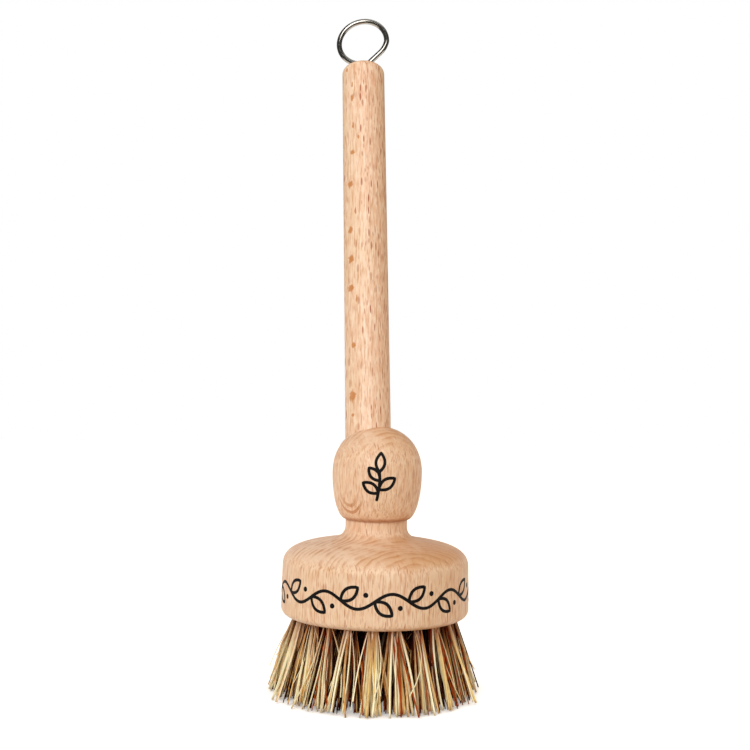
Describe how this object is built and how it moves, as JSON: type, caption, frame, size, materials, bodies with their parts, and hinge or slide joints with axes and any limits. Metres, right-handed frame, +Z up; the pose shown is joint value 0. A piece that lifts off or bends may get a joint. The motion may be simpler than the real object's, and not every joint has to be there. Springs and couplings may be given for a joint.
{
  "type": "scrub brush",
  "caption": "Round scrub brush with a turned wooden body and knob, a slanting dowel handle, a steel hanging ring and tufts of stiff plant fibre.",
  "frame": {"origin": "middle of the round face of bristle tips that the brush stands on, on the axis of the turned body", "axes": "+Z up along the axis of the turned body, +Y the side that the handle leans to, +X to the right when +Y is away from the viewer"},
  "size_m": [0.0723, 0.0889, 0.2475],
  "materials": {
    "body_beech": "turned and fine sanded, bare, grain upright",
    "handle_beech": "planed dowel, fine sanded, bare, grain along its length",
    "steel_wire": "bright drawn wire",
    "plant_fibre": "dull stiff plant fibre, straw, golden and red-brown mixed"
  },
  "bodies": {
    "root": {"turned_body": "body_beech", "handle": "handle_beech", "ring_screw_eye": "steel_wire", "tuft_outer_01": "plant_fibre", "tuft_outer_02": "plant_fibre", "tuft_outer_03": "plant_fibre", "tuft_outer_04": "plant_fibre", "tuft_outer_05": "plant_fibre", "tuft_outer_06": "plant_fibre", "tuft_outer_07": "plant_fibre", "tuft_outer_08": "plant_fibre", "tuft_outer_09": "plant_fibre", "tuft_outer_10": "plant_fibre", "tuft_outer_11": "plant_fibre", "tuft_outer_12": "plant_fibre", "tuft_outer_13": "plant_fibre", "tuft_outer_14": "plant_fibre", "tuft_outer_15": "plant_fibre", "tuft_outer_16": "plant_fibre", "tuft_outer_17": "plant_fibre", "tuft_outer_18": "plant_fibre", "tuft_outer_19": "plant_fibre", "tuft_outer_20": "plant_fibre", "tuft_outer_21": "plant_fibre", "tuft_outer_22": "plant_fibre", "tuft_middle_01": "plant_fibre", "tuft_middle_02": "plant_fibre", "tuft_middle_03": "plant_fibre", "tuft_middle_04": "plant_fibre", "tuft_middle_05": "plant_fibre", "tuft_middle_06": "plant_fibre", "tuft_middle_07": "plant_fibre", "tuft_middle_08": "plant_fibre", "tuft_middle_09": "plant_fibre", "tuft_middle_10": "plant_fibre", "tuft_middle_11": "plant_fibre", "tuft_middle_12": "plant_fibre", "tuft_middle_13": "plant_fibre", "tuft_middle_14": "plant_fibre", "tuft_middle_15": "plant_fibre", "tuft_middle_16": "plant_fibre", "tuft_inner_01": "plant_fibre", "tuft_inner_02": "plant_fibre", "tuft_inner_03": "plant_fibre", "tuft_inner_04": "plant_fibre", "tuft_inner_05": "plant_fibre", "tuft_inner_06": "plant_fibre", "tuft_inner_07": "plant_fibre", "tuft_inner_08": "plant_fibre", "tuft_inner_09": "plant_fibre", "tuft_inner_10": "plant_fibre", "tuft_core_01": "plant_fibre", "tuft_core_02": "plant_fibre", "tuft_core_03": "plant_fibre", "tuft_core_04": "plant_fibre", "tuft_core_05": "plant_fibre", "tuft_centre": "plant_fibre"}
  },
  "joints": []
}
